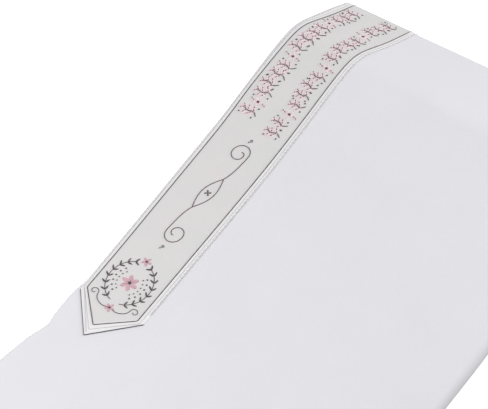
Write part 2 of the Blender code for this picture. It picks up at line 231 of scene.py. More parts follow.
def lift(x, y, z, run):
    """Soft waves in the cloth on top and, under the pack, the room it gives the band."""
    if run > 0:
        by_roll = ripple(ROLL_WAVE, x, y) * eased(y, *ROLL_WAVE_OVER)
        waves = ripple(WIDE_WAVE, x, y) + ripple(CROSS_WAVE, x, y) + by_roll
        return waves * eased(z, *SLOPE_FADE)
    inner = NECK_Y - BAND_INSET - BAND_ROOM
    across = eased(y, inner - BAND_RISE_EASE, inner)
    along = eased(x, *BAND_RISES_OVER)
    return -BAND_UNDER * across * along * (1 - eased(z, 0.0, NOSE_R))


def on_pack(run, y, out):
    """A point out metres off the pack's face."""
    x, z, away_x, away_z = face_at(run, y)
    out += lift(x, y, z, run)
    x += away_x * out
    return Vector((x + slanted(x, y), y + askew(x), z + away_z * out))


def pack_middle(stage, y):
    """Between the upper and the lower arm of the pack, where the innermost layers meet."""
    x, z, _, _ = face_at(run_to(max(stage, 1.0), y), y)
    x -= NOSE_DEPTH * (1 - eased(stage, 1.0, 3.0))
    nose = 1 - min(stage, 1.0)
    return x + (HALF_LENGTH - NOSE_DEPTH - x) * nose, z / 2 + (NOSE_R - z / 2) * nose


def along_section(upper, stage):
    """The cloth's way across the pack at one stage, as steps of (y, depth share, inset, reach).

    It runs from the neck edge to the outer roll, back underneath, round the fold, and round the
    inner roll to the far edge. Reach is how far a roll stands out, as a share of the depth.
    """
    body = eased(stage, 1.0, 3.0)
    second, third, fourth = (
        (nose + (flat - nose) * body, inset) for nose, flat, inset in (SECOND, THIRD, FOURTH)
    )
    x = face_at(run_to(stage, NECK_Y), NECK_Y)[0]
    edge = neck_edge(x)
    edge_inside = (edge + NECK_Y) / 2
    roll = roll_edge(x)
    reach = 1.0 if upper else 1 + (LOWER_ROLL_SHARE - 1) * eased(stage, 0.0, 2.0)
    fold = edge_inside - FOLD_INSET
    bend = FOLD_REACH * (fourth[0] - third[0])
    steps = layer_steps(edge, roll, (0.0, 0.0), TOP_STEPS)
    steps += roll_steps(roll, (0.0, 0.0), fourth, -ROLL_REACH * reach, OUTER_ROLL_STEPS)
    steps += layer_steps(roll, fold, fourth, LAYER_STEPS)
    steps += roll_steps(fold, fourth, third, bend, INNER_ROLL_STEPS)
    steps += layer_steps(fold, roll, third, LAYER_STEPS)
    steps += roll_steps(roll, third, second, -INNER_ROLL_REACH * reach, INNER_ROLL_STEPS)
    steps += layer_steps(roll, edge_inside - SECOND_EDGE_INSET, second, LAST_LAYER_STEPS)
    return steps


def layer_steps(start, end, layer, count):
    """Even steps along one layer, at its depth share and inset."""
    return [(start + (end - start) * i / count, *layer, 0.0) for i in range(count + 1)]


def roll_steps(y, start, end, reach, count):
    """Steps round a rolled fold, between the depth shares and insets of the layers it joins."""
    steps = []
    for i in range(1, count):
        turn = math.pi * i / count
        share = (1 - math.cos(turn)) / 2
        depth, inset = (a + (b - a) * share for a, b in zip(start, end))
        steps.append((y, depth, inset, reach * math.sin(turn)))
    return steps


def cloth_point(upper, stage, step):
    """Where one point of the cloth lies, and its distance along the cloth from the nose."""
    y, depth, inset, reach = step
    run = run_to(stage, y, inset) if upper else run_below(stage, y, inset)
    x, z, away_x, away_z = face_at(run, y)
    mid_x, mid_z = pack_middle(stage, y)
    out = lift(x, y, z, run) * (1 - depth)
    y += reach * math.hypot(mid_x - x, mid_z - z)
    mid_x += x - face_at(run_to(stage, NECK_Y), NECK_Y)[0] if stage > 3 else 0.0
    x += (mid_x - x) * depth + away_x * out
    z += (mid_z - z) * depth + away_z * out
    return Vector((x + slanted(x, y), y + askew(x), z)), run


stages = [0.0]
for start, end, count in STAGE_STEPS:
    stages += [start + (end - start) * (i + 1) / count for i in range(count)]
rows = [(False, stage) for stage in reversed(stages[1:])] + [(True, stage) for stage in stages]
columns = len(along_section(True, 0.0))

placed = {}
for row, (upper, stage) in enumerate(rows):
    width = 0.0
    for column, step in enumerate(along_section(upper, stage)):
        point, run = cloth_point(upper, stage, step)
        if column:
            width += (point - placed[row, column - 1][0]).length
        placed[row, column] = (point, width, run)


def lay_sheet(name, rows, columns, place):
    """A cloth's grid, and its places when flat. place gives the point, width and run of each spot."""
    bpy.ops.mesh.primitive_grid_add(
        x_subdivisions=rows, y_subdivisions=columns, size=1.0, calc_uvs=True
    )
    sheet = bpy.context.object
    sheet.name = name
    flat = []
    for vertex in sheet.data.vertices:
        row, column = round((vertex.co.x + 0.5) * rows), round((vertex.co.y + 0.5) * columns)
        vertex.co, width, run = place(row, column)
        flat.append((width, run))
    for loop in sheet.data.loops:
        sheet.data.uv_layers.active.data[loop.index].uv = flat[loop.vertex_index]
    return sheet, flat


shawl, _ = lay_sheet("shawl_cloth", len(rows) - 1, columns - 1, lambda *spot: placed[spot])
hem = shawl.vertex_groups.new(name="hem")
for vertex in shawl.data.vertices:
    from_end = vertex.co.x + HALF_LENGTH
    hem.add([vertex.index], 1.0 - eased(from_end, HEM_DEPTH, HEM_DEPTH + HEM_EASE), "REPLACE")


def apply_modifiers(piece):
    """Apply a piece's modifiers in turn."""
    bpy.context.view_layer.objects.active = piece
    for modifier in list(piece.modifiers):
        bpy.ops.object.modifier_apply(modifier=modifier.name)


def thicken(piece, thickness, group=None, thin_share=0.0):
    """Give a sheet its wall, behind the face that points out at the nose."""
    nose = max(piece.data.polygons, key=lambda face: face.center.x)
    if nose.normal.x < 0:
        piece.data.flip_normals()
    wall = piece.modifiers.new("wall", "SOLIDIFY")
    wall.thickness = thickness
    wall.offset = -1.0
    if group:
        wall.vertex_group = group
        wall.thickness_vertex_group = thin_share
    apply_modifiers(piece)


thicken(shawl, HEM_T, "hem", CLOTH_T / HEM_T)

EYELET_R = 0.003
EYELET_INSET = 0.040
EYELET_DEPTH = 0.006
EYELET_SIDES = 32
eyelet_run = run_to(4.0, NECK_Y) - EYELET_INSET
eyelet_y = NECK_Y + FLARE - EYELET_INSET
eyelet = on_pack(eyelet_run, eyelet_y, 0.0)
bpy.ops.mesh.primitive_cylinder_add(
    vertices=EYELET_SIDES, radius=EYELET_R, depth=EYELET_DEPTH, location=eyelet
)
punch = bpy.context.object
opening = shawl.modifiers.new("eyelet", "BOOLEAN")
opening.operation = "DIFFERENCE"
opening.solver = "EXACT"
opening.object = punch
apply_modifiers(shawl)
bpy.data.objects.remove(punch)
shawl.data.shade_smooth()
shawl.data.set_sharp_from_angle(angle=SHARP_EDGE)


def new_finish(name, color, roughness, sheen):
    """A new material: its node tree and its shader, with the plain values set."""
    finish = bpy.data.materials.new(name)
    finish.use_nodes = True
    shader = finish.node_tree.nodes["Principled BSDF"]
    shader.inputs["Base Color"].default_value = (*color, 1.0)
    shader.inputs["Roughness"].default_value = roughness
    shader.inputs["Sheen Weight"].default_value = sheen
    return finish, finish.node_tree, shader


def coordinates(tree, kind):
    return tree.nodes.new("ShaderNodeTexCoord").outputs[kind]


def calculate(tree, operation, first, second=0.0):
    """A Math node's result, from sockets or plain numbers."""
    node = tree.nodes.new("ShaderNodeMath")
    node.operation = operation
    for socket, value in zip(node.inputs, (first, second)):
        if isinstance(value, (int, float)):
            socket.default_value = value
        else:
            tree.links.new(value, socket)
    return node.outputs[0]


def mottle(tree, scale, detail=2.0):
    """Soft cloudy noise, with about scale clouds in a metre."""
    noise = tree.nodes.new("ShaderNodeTexNoise")
    noise.inputs["Scale"].default_value = scale
    noise.inputs["Detail"].default_value = detail
    tree.links.new(coordinates(tree, "Object"), noise.inputs["Vector"])
    return noise.outputs["Fac"]


def woven(tree, warp, weft):
    """Height of a plain weave on the piece's own UV map, whose units are metres."""
    split = tree.nodes.new("ShaderNodeSeparateXYZ")
    tree.links.new(coordinates(tree, "UV"), split.inputs[0])
    over = calculate(tree, "SINE", calculate(tree, "MULTIPLY", split.outputs[0], math.pi / warp))
    under = calculate(tree, "SINE", calculate(tree, "MULTIPLY", split.outputs[1], math.pi / weft))
    return calculate(tree, "MULTIPLY", over, under)


def blend_colors(tree, factor, low, high, shader):
    """Base color between two close tones."""
    mix = tree.nodes.new("ShaderNodeMix")
    mix.data_type = "RGBA"
    tree.links.new(factor, mix.inputs["Factor"])
    mix.inputs["A"].default_value = (*low, 1.0)
    mix.inputs["B"].default_value = (*high, 1.0)
    tree.links.new(mix.outputs["Result"], shader.inputs["Base Color"])
    return mix


def raise_surface(tree, shader, height, strength, distance):
    """Bump from a height."""
    bump = tree.nodes.new("ShaderNodeBump")
    bump.inputs["Strength"].default_value = strength
    bump.inputs["Distance"].default_value = distance
    tree.links.new(height, bump.inputs["Height"])
    tree.links.new(bump.outputs["Normal"], shader.inputs["Normal"])


WARP, WEFT, WEAVE_SHARE = 0.00075, 0.00085, 0.35
SLUBS_PER_M, TONES_PER_M = 420.0, 22.0
wool, tree, shader = new_finish("white_wool", (0.76, 0.755, 0.785), roughness=0.88, sheen=0.25)
shader.inputs["Sheen Roughness"].default_value = 0.5
weave = woven(tree, WARP, WEFT)
slubs = mottle(tree, SLUBS_PER_M)
nap = calculate(tree, "ADD", calculate(tree, "MULTIPLY", weave, WEAVE_SHARE), slubs)
raise_surface(tree, shader, nap, strength=0.35, distance=0.0003)
tone = mottle(tree, TONES_PER_M)
blend_colors(tree, tone, (0.742, 0.738, 0.776), (0.778, 0.774, 0.812), shader)
shawl.data.materials.append(wool)
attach(shawl, "root")
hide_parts("shawl_outer_layer", "inner_layers")

# The atarah, or neck band. A strip of silvery satin with folded-in edges and a pointed end, sewn
# along the neck edge on the outside of the shawl. It runs over the crest, round the nose and back
# under the pack, so both halves of it point towards -X.
BAND_T = 0.0007
BAND_HALF = 0.4509
BAND_TIP = 0.0375
BAND_TIP_ACROSS = 0.0337
BAND_SQUARE = 0.032
SOFT_EDGE = 0.0005
SOFT_EDGE_WIDTH = 0.0016
BAND_MIDDLE = 0.035

# The band's grey lines as (run, across) places, measured from the nose and from the neck side. The
# band ends just outside them.
NECK_LINE = (
    (0.0, 0.0090), (0.045, 0.0086), (0.08, 0.0063), (0.12, 0.0050), (0.175, 0.0050),
    (0.215, 0.0067), (0.25, 0.0074), (0.33, 0.0073), (0.40, 0.0072),
)
FAR_LINE = (
    (0.0, 0.0740), (0.045, 0.0735), (0.08, 0.0702), (0.12, 0.0683), (0.175, 0.0693),
    (0.225, 0.0700), (0.275, 0.0698), (0.325, 0.0690), (0.375, 0.0678), (0.42, 0.0666),
)
LINE_CORNER_NECK = (0.446, 0.0068)
LINE_TIP = (0.4755, 0.0347)
LINE_CORNER_FAR = (0.451, 0.0658)
BEYOND_FAR_LINE = 0.0066
NEAR_SIDE = 0.0003
NEAR_SIDE_SHIFT = 0.0024
SHIFTS_OVER = (0.15, 0.24)
BAND_ROUND_END = 0.026
# How softly the painted highlight outside the grey lines fades in
HIGHLIGHT_MARGIN_BLUR = 0.0006

# Its threads sit tight round the nose and are pressed flat under the pack
NOSE_TIGHT = 0.0005
TIGHT_TO_LOOSE = (0.006, 0.016)
PRESSED_SHARE, PRESSED_IN = 0.3, 0.0002
SPAN_POINTS = 12


def curved(anchors, per_span=SPAN_POINTS):
    """A smooth line through a few (run, across) places."""
    line = []
    for i in range(len(anchors) - 1):
        before, a = anchors[max(0, i - 1)], anchors[i]
        b, after = anchors[i + 1], anchors[min(len(anchors) - 1, i + 2)]
        for step in range(per_span):
            t = step / per_span
            line.append(tuple(
                0.5 * (2 * q + (r - p) * t + (2 * p - 5 * q + 4 * r - s) * t * t
                       + (3 * q - p - 3 * r + s) * t ** 3)
                for p, q, r, s in zip(before, a, b, after)
            ))
    return line + [tuple(anchors[-1])]


smooth_neck_line = curved([*NECK_LINE, LINE_CORNER_NECK])
smooth_far_line = curved([*FAR_LINE, LINE_CORNER_FAR])


def across_at(line, run):
    """Where a line lies across the band at one run."""
    for a, b in zip(line, line[1:]):
        if a[0] <= run < b[0]:
            return a[1] + (b[1] - a[1]) * (run - a[0]) / (b[0] - a[0])
    return line[-1][1]


def band_side(run):
    """The band's two sides, as distances from where its neck side starts at the nose."""
    near = NEAR_SIDE + NEAR_SIDE_SHIFT * eased(abs(run), *SHIFTS_OVER)
    near += NOSE_ROUND * (1 - eased(abs(run), 0.0, BAND_ROUND_END))
    return near, across_at(smooth_far_line, abs(run)) + BEYOND_FAR_LINE


def highlight_margin_at(run, across):
    """1 where the band is painted paler outside its grey lines, as a painted highlight, and 0 between
    them.
    """
    run = abs(run)
    depths = [across - across_at(smooth_neck_line, run), across_at(smooth_far_line, run) - across]
    for a, b in ((LINE_CORNER_NECK, LINE_TIP), (LINE_TIP, LINE_CORNER_FAR)):
        turned = (b[0] - a[0]) * (across - a[1]) - (b[1] - a[1]) * (run - a[0])
        depths.append(turned / math.dist(a, b))
    return 1 - eased(min(depths), -HIGHLIGHT_MARGIN_BLUR, HIGHLIGHT_MARGIN_BLUR)


def on_band(run, across, out):
    """A point out metres off the band's face, run along it and across from its neck side."""
    if run < 0:
        out = PRESSED_SHARE * out - PRESSED_IN
    out -= NOSE_TIGHT * (1 - eased(abs(run), *TIGHT_TO_LOOSE))
    return on_pack(run, NECK_Y - BAND_INSET - across, BAND_OUT + out)


def band_point(row, column):
    """A grid point of the band. Its last rows ease from square to the pointed end."""
    side = 1 if row > BAND_ROWS else -1
    share = abs(row - BAND_ROWS) / BAND_ROWS
    flat = BAND_HALF - BAND_SQUARE
    half = column <= BAND_TIP_COLUMN
    if half:
        place = column / BAND_TIP_COLUMN
    else:
        place = (BAND_COLUMNS - column) / (BAND_COLUMNS - BAND_TIP_COLUMN)
    end = BAND_HALF + BAND_TIP * place
    body = share / BAND_SQUARE_SHARE
    run = flat * body
    if body > 1:
        run = flat + (end - flat) * (share - BAND_SQUARE_SHARE) / (1 - BAND_SQUARE_SHARE)
    near, far = band_side(min(run, BAND_HALF))
    side_at = near if half else far
    across = side_at + (BAND_TIP_ACROSS - side_at) * place
    rim = min(place * BAND_MIDDLE, (end - run) if share > BAND_SQUARE_SHARE else 1.0)
    out = BAND_OUT - SOFT_EDGE * (1 - eased(rim, 0.0, SOFT_EDGE_WIDTH))
    return on_pack(side * run, NECK_Y - BAND_INSET - across, out), across, run * side


BAND_ROWS = 130
BAND_SQUARE_SHARE = 0.9
BAND_COLUMNS = 56
BAND_TIP_COLUMN = 24
atarah, flat = lay_sheet("atarah_band", 2 * BAND_ROWS, BAND_COLUMNS, band_point)
# The painted highlight's share at each point: outside its grey lines the band is painted paler
highlight_margin = atarah.data.attributes.new("highlight_margin", "FLOAT", "POINT")
for (across, run), mark in zip(flat, highlight_margin.data):
    mark.value = highlight_margin_at(run, across)
thicken(atarah, BAND_T)
atarah.data.shade_smooth()
atarah.data.set_sharp_from_angle(angle=SHARP_EDGE)

SATIN_WARP, SATIN_FLOAT = 0.00035, 0.0016
GRAINS_PER_M, BLUSHES_PER_M = 700.0, 26.0
satin, tree, shader = new_finish("silver_satin", (0.70, 0.69, 0.69), roughness=0.50, sheen=0.15)
shader.inputs["Specular IOR Level"].default_value = 0.32
floats = woven(tree, SATIN_WARP, SATIN_FLOAT)
grain = mottle(tree, GRAINS_PER_M)
rise = calculate(tree, "ADD", floats, grain)
raise_surface(tree, shader, rise, strength=0.25, distance=0.00015)
blush = mottle(tree, BLUSHES_PER_M, detail=1.0)
ground = blend_colors(tree, blush, (0.668, 0.702, 0.684), (0.756, 0.697, 0.714), shader)
# Painted highlight: outside its grey lines the satin's colour is blended towards a paler one
outside = tree.nodes.new("ShaderNodeAttribute")
outside.attribute_name = "highlight_margin"
pale = blend_colors(tree, outside.outputs["Fac"], (0.70, 0.69, 0.69), (0.835, 0.83, 0.835), shader)
tree.links.new(ground.outputs["Result"], pale.inputs["A"])
atarah.data.materials.append(satin)
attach(atarah, "root")
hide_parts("atarah")

# The band's lines. A stem-stitched line of grey thread runs inside its outline, with finer pale
# ones beside it. Small catch stitches hold its long sides down, and grey cord edges its point, made
# heavier on the far half as painted shadow.
GREY_LINE_R = 0.00042
FINE_LINE_R = 0.00024
STITCH = 0.0034
STITCH_RISE, STITCH_LEAN = 0.0003, 0.00012
SINK = 0.0002
FIBRES_PER_M, THREAD_TONES_PER_M = 2600.0, 150.0


def spaced(line, step):
    """Places at even steps along a line of (run, across) places."""
    total = sum(math.dist(a, b) for a, b in zip(line, line[1:]))
    count = max(2, round(total / step))
    step = total / count
    places = [Vector(line[0])]
    left = step
    for a, b in zip(line, line[1:]):
        length = math.dist(a, b)
        while left <= length + 1e-9 and len(places) <= count:
            places.append(Vector(a).lerp(Vector(b), min(1.0, left / length)))
            left += step
        left -= length
    return places


def stem_stitches(line, length=STITCH, height=STITCH_RISE):
    """Stitches along a line, each starting halfway along the one before and leaning over it."""
    places = spaced(line, length / 2)
    stitches = []
    for a, b, c in zip(places, places[1:], places[2:]):
        ahead = (c - a).normalized()
        aside = Vector((-ahead.y, ahead.x)) * STITCH_LEAN
        stitches.append([(*(a - aside), -SINK), (*b, height), (*(c + aside), -SINK)])
    return stitches


def sew(name, stitches, radius, finish):
    """Turn stitches, each a list of (run, across, out), into one piece of thread on the band."""
    runs = [[on_band(*place) for place in stitch] for stitch in stitches]
    sew_points(name, runs, radius, finish)


def new_curve(name, runs):
    """A curve through runs of points, with closed ends and no thickness yet."""
    curve = bpy.data.curves.new(name, "CURVE")
    curve.dimensions = "3D"
    curve.use_fill_caps = True
    for run in runs:
        spline = curve.splines.new("POLY")
        spline.points.add(len(run) - 1)
        for spot, point in zip(spline.points, run):
            spot.co = (*point, 1.0)
    return curve


def sew_points(name, runs, radius, finish):
    """Turn runs of points into one piece of thread."""
    curve = new_curve(name, runs)
    curve.bevel_depth = radius
    curve.bevel_resolution = 1
    finish_thread(bpy.data.objects.new(name, curve), finish)


def finish_thread(thread, finish):
    """Make a curve a mesh and give it its material and body."""
    bpy.context.scene.collection.objects.link(thread)
    bpy.ops.object.select_all(action="DESELECT")
    thread.select_set(True)
    bpy.context.view_layer.objects.active = thread
    bpy.ops.object.convert(target="MESH")
    thread = bpy.context.object
    thread.data.materials.clear()
    thread.data.materials.append(finish)
    thread.data.shade_smooth()
    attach(thread, "root")
    return thread


def thread_finish(name, low, high):
    """Spun thread: a soft sheen, fine fibres and a tone that wanders a little."""
    finish, tree, shader = new_finish(name, low, roughness=0.62, sheen=0.3)
    fibres = mottle(tree, FIBRES_PER_M)
    raise_surface(tree, shader, fibres, strength=0.4, distance=0.0001)
    tone = mottle(tree, THREAD_TONES_PER_M)
    blend_colors(tree, tone, low, high, shader)
    return finish


def mirrored(line):
    """The same line on the half of the band that lies under the pack."""
    return [(-run, across) for run, across in reversed(line)]


grey_thread = thread_finish("grey_thread", (0.070, 0.054, 0.064), (0.120, 0.093, 0.108))
pale_thread = thread_finish("pale_thread", (0.53, 0.51, 0.53), (0.65, 0.62, 0.64))
border = smooth_neck_line + [LINE_TIP] + list(reversed(smooth_far_line))
border_stitches = stem_stitches(border) + stem_stitches(mirrored(border))
sew("atarah_grey_line", border_stitches, GREY_LINE_R, grey_thread)

# The fine lines: one outside the grey line, one along the band's far side and one by its point
FINE_INSET = 0.0033
FINE_TIP = [(0.4466, 0.0040), (0.4815, 0.0343), (0.4520, 0.0690)]
FINE_STITCH, FINE_RISE = 0.0030, 0.0002
SIDE_LINE_INSET, SIDE_LINE_END, SIDE_LINE_STEPS = 0.0005, 0.44, 60
END_LINE = [(BAND_HALF - 0.0025, 0.0052), (BAND_HALF + BAND_TIP - 0.0036, BAND_TIP_ACROSS + 0.0001)]
fine_neck = [(run, across - FINE_INSET) for run, across in curved(NECK_LINE)]
fine_far = [(run, across + FINE_INSET) for run, across in reversed(smooth_far_line[:-SPAN_POINTS])]
side_runs = [SIDE_LINE_END * i / SIDE_LINE_STEPS for i in range(SIDE_LINE_STEPS + 1)]
side_line = [(run, band_side(run)[1] - SIDE_LINE_INSET) for run in side_runs]
fine = []
for line in (fine_neck + FINE_TIP + fine_far, side_line, END_LINE):
    for half in (line, mirrored(line)):
        fine += stem_stitches(half, FINE_STITCH, FINE_RISE)

# Small slanted catch stitches over both long sides
CATCH_PITCH = 0.0045
CATCH_LENGTH, CATCH_SLANT = 0.0017, 0.0008
CATCHES_EACH_WAY = 95
for number in range(-CATCHES_EACH_WAY, CATCHES_EACH_WAY + 1):
    run = number * CATCH_PITCH
    for side, inward in zip(band_side(run), (1, -1)):
        start = side + inward * SINK
        fine.append([
            (run, start, 0.0),
            (run + CATCH_SLANT / 2, start + inward * CATCH_LENGTH / 2, FINE_RISE),
            (run + CATCH_SLANT, start + inward * CATCH_LENGTH, -SINK),
        ])
sew("atarah_fine_lines", fine, FINE_LINE_R, pale_thread)

# The pointed end's edge is piped with grey cord. On its far half the piping is heavier, and that
# extra weight is painted shadow along the edge.
PIPING_AND_SHADOW_R = 0.00045
PIPING_OUT = -0.0004
PIPING_STEP = 0.0035
NEAR_PIPING_SHARE = 0.7
tip = (BAND_HALF + BAND_TIP, BAND_TIP_ACROSS)
near_shoulder, far_shoulder = ((BAND_HALF, side) for side in band_side(BAND_HALF))
piping = []
for line in ([tip, far_shoulder], [near_shoulder, tip]):
    for half in (line, mirrored(line)):
        piping.append([(*place, PIPING_OUT) for place in spaced(half, PIPING_STEP)])
# The far half: grey piping made heavier to stand in for shadow, a painted shadow
sew("atarah_end_piping_and_shadow", piping[:2], PIPING_AND_SHADOW_R, grey_thread)
sew("atarah_end_cord", piping[2:], PIPING_AND_SHADOW_R * NEAR_PIPING_SHARE, grey_thread)

# The rose rows. Two rows of small leaf and blossom sprigs in dusty rose thread, satin-stitched
# between mauve stems, run along the upper half of the band from the nose to past the crest.
# Each row is (middle across the band, start, end, sprig height).
ROSE_ROWS = ((0.0200, 0.0195, 0.209, 0.0185), (0.0540, 0.0120, 0.219, 0.0165))
SPRIG_PITCH = 0.0130
SPRIG_TILT, TILT_STEP = 0.12, 1.7
ROW_DRIFT, DRIFT_SPRIGS = 0.0016, 4
SATIN_STEP = 0.00062
SATIN_R = 0.00038
SATIN_RISE, SATIN_SLANT, LEAF_FULLNESS = 0.0005, 0.35, 0.7
VEIN_RISE, VEIN_END_RISE = 0.0008, 0.0002
VEIN_STITCHES = ((0.0, 0.52), (0.42, 1.0))
ROSE_STEM_R = 0.00042

# A sprig's stem, its leaves as (root, heading in degrees, length), and its knots, in shares of its
# height
STEM = ((-0.12, 0.50), (0.08, 0.22), (-0.04, -0.10), (0.08, -0.44))
STEM_STITCH = 0.0024
LEAVES = (
    ((0.05, 0.24), -32, 0.42), ((0.00, 0.16), -148, 0.40), ((0.00, -0.08), -24, 0.36),
    ((-0.02, -0.14), -160, 0.36), ((0.06, -0.30), -52, 0.28), ((0.04, -0.34), -128, 0.28),
)
LEAF_WIDTH = 0.20
SPRIG_VEIN_SHARE = 0.92
KNOTS = ((-0.30, 0.36), (0.36, 0.34), (-0.34, -0.42))
KNOT_SIZE, KNOT_RISE, KNOT_SIDES = 0.00045, 0.0003, 6

# A blossom's parts, in shares of its radius, and what stands in for every fifth sprig
EYE_SIZE, PETAL_ROOT, PETAL_LENGTH, PETAL_WIDTH, PETAL_VEIN = 0.14, 0.22, 0.78, 0.52, 0.62
BLOSSOM_EVERY, FIRST_BLOSSOM = 5, 3
ROW_BLOSSOM_R, ROW_PETALS, BLOSSOM_TURN = 0.0048, 5, 0.4
SIDE_LEAF_AT, SIDE_LEAF_DEG = 0.0040, (70, -110)
SIDE_LEAF_LENGTH, SIDE_LEAF_WIDTH, SIDE_VEIN = 0.0056, 0.0024, 0.0052


def satin_leaf(root, heading, length, width):
    """Stitches laid side by side across a leaf or petal."""
    ahead = Vector((math.cos(heading), math.sin(heading)))
    aside = Vector((-ahead.y, ahead.x))
    count = max(3, round(length / SATIN_STEP))
    stitches = []
    for step in range(count):
        share = (step + 0.5) / count
        half = width / 2 * math.sin(math.pi * share) ** LEAF_FULLNESS
        middle = Vector(root) + ahead * length * share
        reach = aside * half + ahead * half * SATIN_SLANT
        ends = ((*(middle - reach), -SINK), (*(middle + reach), -SINK))
        stitches.append([ends[0], (*middle, SATIN_RISE), ends[1]])
    return stitches


def leaf_vein(root, heading, length):
    """A leaf's mid vein: two long stitches over its satin."""
    ahead = Vector((math.cos(heading), math.sin(heading))) * length
    spots = (((a, 0.0), ((a + b) / 2, VEIN_RISE), (b, VEIN_END_RISE)) for a, b in VEIN_STITCHES)
    return [[(*(Vector(root) + ahead * share), out) for share, out in stitch] for stitch in spots]


def oval(hub, long, wide, turn):
    """A place on an oval round its hub."""
    return (hub[0] + long * math.cos(turn), hub[1] + wide * math.sin(turn))


def knot_stitch(place, size):
    """A French knot, as a tiny ring of thread."""
    turns = [math.tau * i / KNOT_SIDES for i in range(KNOT_SIDES + 1)]
    return [(*oval(place, size, size, turn), KNOT_RISE) for turn in turns]


def sprig(place, size, turn, flip):
    """A leafy sprig standing across the band: its stem's line, its leaves and its knots."""
    def spot(along, across):
        aside = along * flip * math.cos(turn) - across * math.sin(turn)
        up = along * flip * math.sin(turn) + across * math.cos(turn)
        return (place[0] + size * aside, place[1] + size * up)

    def angle(degrees):
        heading = math.radians(degrees)
        return turn + (heading if flip > 0 else math.pi - heading)

    stems = stem_stitches(curved([spot(*place) for place in STEM], per_span=6), STEM_STITCH)
    leaves = []
    for root, degrees, length in LEAVES:
        leaves += satin_leaf(spot(*root), angle(degrees), size * length, size * LEAF_WIDTH)
        stems += leaf_vein(spot(*root), angle(degrees), size * length * SPRIG_VEIN_SHARE)
    knots = [knot_stitch(spot(*place), KNOT_SIZE) for place in KNOTS]
    return stems, leaves, knots


def blossom(place, radius, petals, turn=0.0):
    """A flower: satin-stitched petals with a vein each, round a knotted eye."""
    leaves, veins, eye = [], [], [knot_stitch(place, radius * EYE_SIZE)]
    inner = radius * PETAL_ROOT
    for petal in range(petals):
        heading = turn + math.tau * petal / petals
        root = oval(place, inner, inner, heading)
        leaves += satin_leaf(root, heading, radius * PETAL_LENGTH, radius * PETAL_WIDTH)
        veins += leaf_vein(place, heading, radius * PETAL_VEIN)[:1]
    return leaves, veins, eye


rose_stems, rose_leaves, rose_knots = [], [], []
for row, (middle, start, end, size) in enumerate(ROSE_ROWS):
    count = round((end - start) / SPRIG_PITCH)
    for number in range(count):
        run = start + (end - start) * (number + 0.5) / count
        place = (run, middle + ROW_DRIFT * math.sin(math.tau * number / DRIFT_SPRIGS + row))
        if number % BLOSSOM_EVERY == FIRST_BLOSSOM:
            leaves, stems, knots = blossom(place, ROW_BLOSSOM_R, ROW_PETALS, BLOSSOM_TURN * number)
            for side, degrees in zip((1, -1), SIDE_LEAF_DEG):
                root = (run, place[1] + side * SIDE_LEAF_AT)
                heading = math.radians(degrees)
                leaves += satin_leaf(root, heading, SIDE_LEAF_LENGTH, SIDE_LEAF_WIDTH)
                stems += leaf_vein(root, heading, SIDE_VEIN)
        else:
            flip = 1 if (number + row) % 2 else -1
            tilt = SPRIG_TILT * math.sin(number * TILT_STEP)
            stems, leaves, knots = sprig(place, size, tilt, flip)
        rose_stems += stems
        rose_leaves += leaves
        rose_knots += knots

blush_thread = thread_finish("blush_thread", (0.86, 0.68, 0.73), (0.94, 0.79, 0.83))
mauve_thread = thread_finish("mauve_thread", (0.078, 0.036, 0.052), (0.135, 0.070, 0.090))
sew("rose_sprigs", rose_leaves, SATIN_R, blush_thread)
sew("rose_sprig_stems", rose_stems, ROSE_STEM_R, mauve_thread)
sew("rose_sprig_knots", rose_knots, ROSE_STEM_R, mauve_thread)

# The scroll. A long S-shaped scroll of mauve thread lies between the rows and the pointed end. Its
# two halves are alike, turned end for end, and cross at both ends of a slim almond in the middle.
SCROLL_MIDDLE = (0.3025, 0.0405)
SCROLL_TILT = math.radians(-9.5)
SCROLL_R = 0.00037
ALMOND_HALF, ALMOND_RISE, ALMOND_STEPS = 0.0213, 0.0062, 6
SWING = ((0.0290, -0.0012), (0.0375, -0.0013), (0.0455, -0.0007))
CURL_HUB = (0.0533, 0.0085)
CURL_LONG, CURL_WIDE = 0.0096, 0.0085
CURL_FIRST_DEG, CURL_TURNS, CURL_STEPS = -90, 1.28, 15
CURL_WINDS_FROM, CURL_WINDS_BY = 0.45, 0.82
SCROLL_STITCH = 0.0026
ROSETTE_R, ROSETTE_PETALS, ROSETTE_TURN, ROSETTE_THREAD_R = 0.0034, 4, 0.6, 0.00028
DOTS_AT, DOT_SIZE = (0.0703, 0.0105), 0.0012
SMALL_DOT_OFF, SMALL_DOT_SIZE, DOT_THREAD_R = (0.0026, -0.0014), 0.0004, 0.00034


def curl(hub, long, wide, first_deg, turns, count):
    """A curling end round its hub, full for half its way and then winding in."""
    line = []
    for i in range(count + 1):
        share = i / count
        turn = math.radians(first_deg) + math.tau * turns * share
        reach = 1 - CURL_WINDS_BY * eased(share, CURL_WINDS_FROM, 1.0)
        line.append(oval(hub, long * reach, wide * reach, turn))
    return line


def scroll_half():
    """Half of the scroll in its own axes: one side of the almond, the swing out, and the curl."""
    shares = [i / ALMOND_STEPS for i in range(ALMOND_STEPS + 1)]
    almond = [(ALMOND_HALF * (2 * s - 1), ALMOND_RISE * math.sin(math.pi * s)) for s in shares]
    end = curl(CURL_HUB, CURL_LONG, CURL_WIDE, CURL_FIRST_DEG, CURL_TURNS, CURL_STEPS)
    return curved([*almond, *SWING, *end], per_span=5)


def placed_scroll(line, sign):
    """The scroll's line on the band, as drawn or turned end for end."""
    cos, sin = math.cos(SCROLL_TILT), math.sin(SCROLL_TILT)
    return [
        (
            SCROLL_MIDDLE[0] + sign * (along * cos - across * sin),
            SCROLL_MIDDLE[1] + sign * (along * sin + across * cos),
        )
        for along, across in line
    ]


